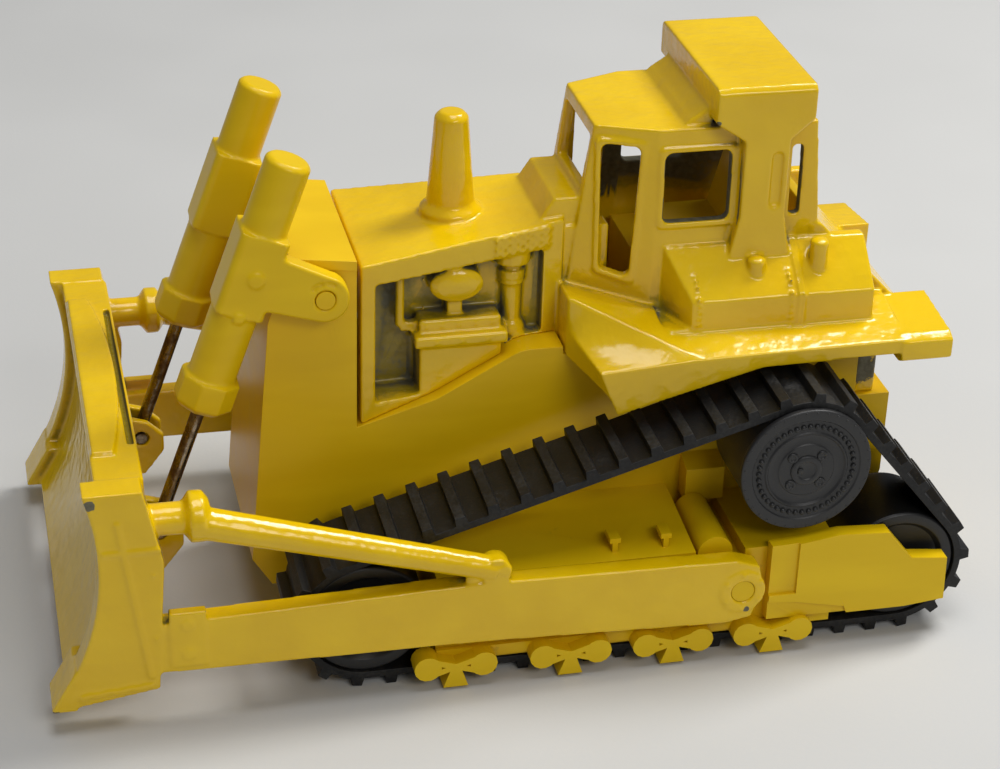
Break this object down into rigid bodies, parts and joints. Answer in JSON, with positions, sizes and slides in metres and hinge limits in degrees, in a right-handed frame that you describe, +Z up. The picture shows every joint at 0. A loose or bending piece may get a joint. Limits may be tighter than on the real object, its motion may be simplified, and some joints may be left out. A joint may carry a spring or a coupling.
{
  "type": "toy bulldozer",
  "caption": "Small toy bulldozer with raised drive sprockets, rubber tracks, a cab with a guard box and a straight blade that lifts on push arms with two lift cylinders.",
  "frame": {"origin": "on the floor, under the middle of the toy's overall length and width", "axes": "+X towards the blade, +Y to the machine's left, +Z up"},
  "size_m": [0.1195, 0.0606, 0.072],
  "materials": {
    "enamel": "glossy poured enamel over a zinc casting, thin on raised edges",
    "plastic": "semi-matte moulded yellow plastic",
    "track_rubber": "soft black rubber, slightly dusty",
    "wheel_plastic": "dark grey moulded plastic",
    "rod_steel": "plain steel wire, tarnished brown"
  },
  "bodies": {
    "machine": {"body_casting": "enamel", "chassis": "plastic", "track_left": "track_rubber", "track_right": "track_rubber", "front_idler_left": "wheel_plastic", "front_idler_right": "wheel_plastic", "rear_idler_left": "wheel_plastic", "rear_idler_right": "wheel_plastic", "sprocket_left": "wheel_plastic", "sprocket_right": "wheel_plastic", "track_frame_left": "plastic", "track_frame_right": "plastic"},
    "blade": {"blade_frame": "enamel"},
    "cylinder_left": {"lift_cylinder_left": "plastic"},
    "rod_left": {"lift_rod_left": "rod_steel"},
    "cylinder_right": {"lift_cylinder_right": "plastic"},
    "rod_right": {"lift_rod_right": "rod_steel"}
  },
  "joints": [
    {"name": "blade_lift", "type": "hinge", "parent": "machine", "child": "blade", "pos_m": [-0.0276, 0, 0.0106], "axis": [0, -1, 0], "range_deg": [-2, 9]},
    {"name": "cylinder_tilt_left", "type": "hinge", "parent": "machine", "child": "cylinder_left", "pos_m": [0.0233, 0.0135, 0.0489], "axis": [0, -1, 0], "range_deg": [-0.95, 4.2]},
    {"name": "rod_slide_left", "type": "slide", "parent": "cylinder_left", "child": "rod_left", "axis": [-0.3365, 0, 0.9417], "range_m": [-0.0024, 0.0105]},
    {"name": "cylinder_tilt_right", "type": "hinge", "parent": "machine", "child": "cylinder_right", "pos_m": [0.0233, -0.0135, 0.0489], "axis": [0, -1, 0], "range_deg": [-0.95, 4.2]},
    {"name": "rod_slide_right", "type": "slide", "parent": "cylinder_right", "child": "rod_right", "axis": [-0.3365, 0, 0.9417], "range_m": [-0.0024, 0.0105]}
  ],
  "couplings": [
    {"joint": "cylinder_tilt_left", "follows": "blade_lift", "ratio": 0.46},
    {"joint": "rod_slide_left", "follows": "blade_lift", "m_per_rad": 0.0665},
    {"joint": "cylinder_tilt_right", "follows": "blade_lift", "ratio": 0.46},
    {"joint": "rod_slide_right", "follows": "blade_lift", "m_per_rad": 0.0665}
  ]
}
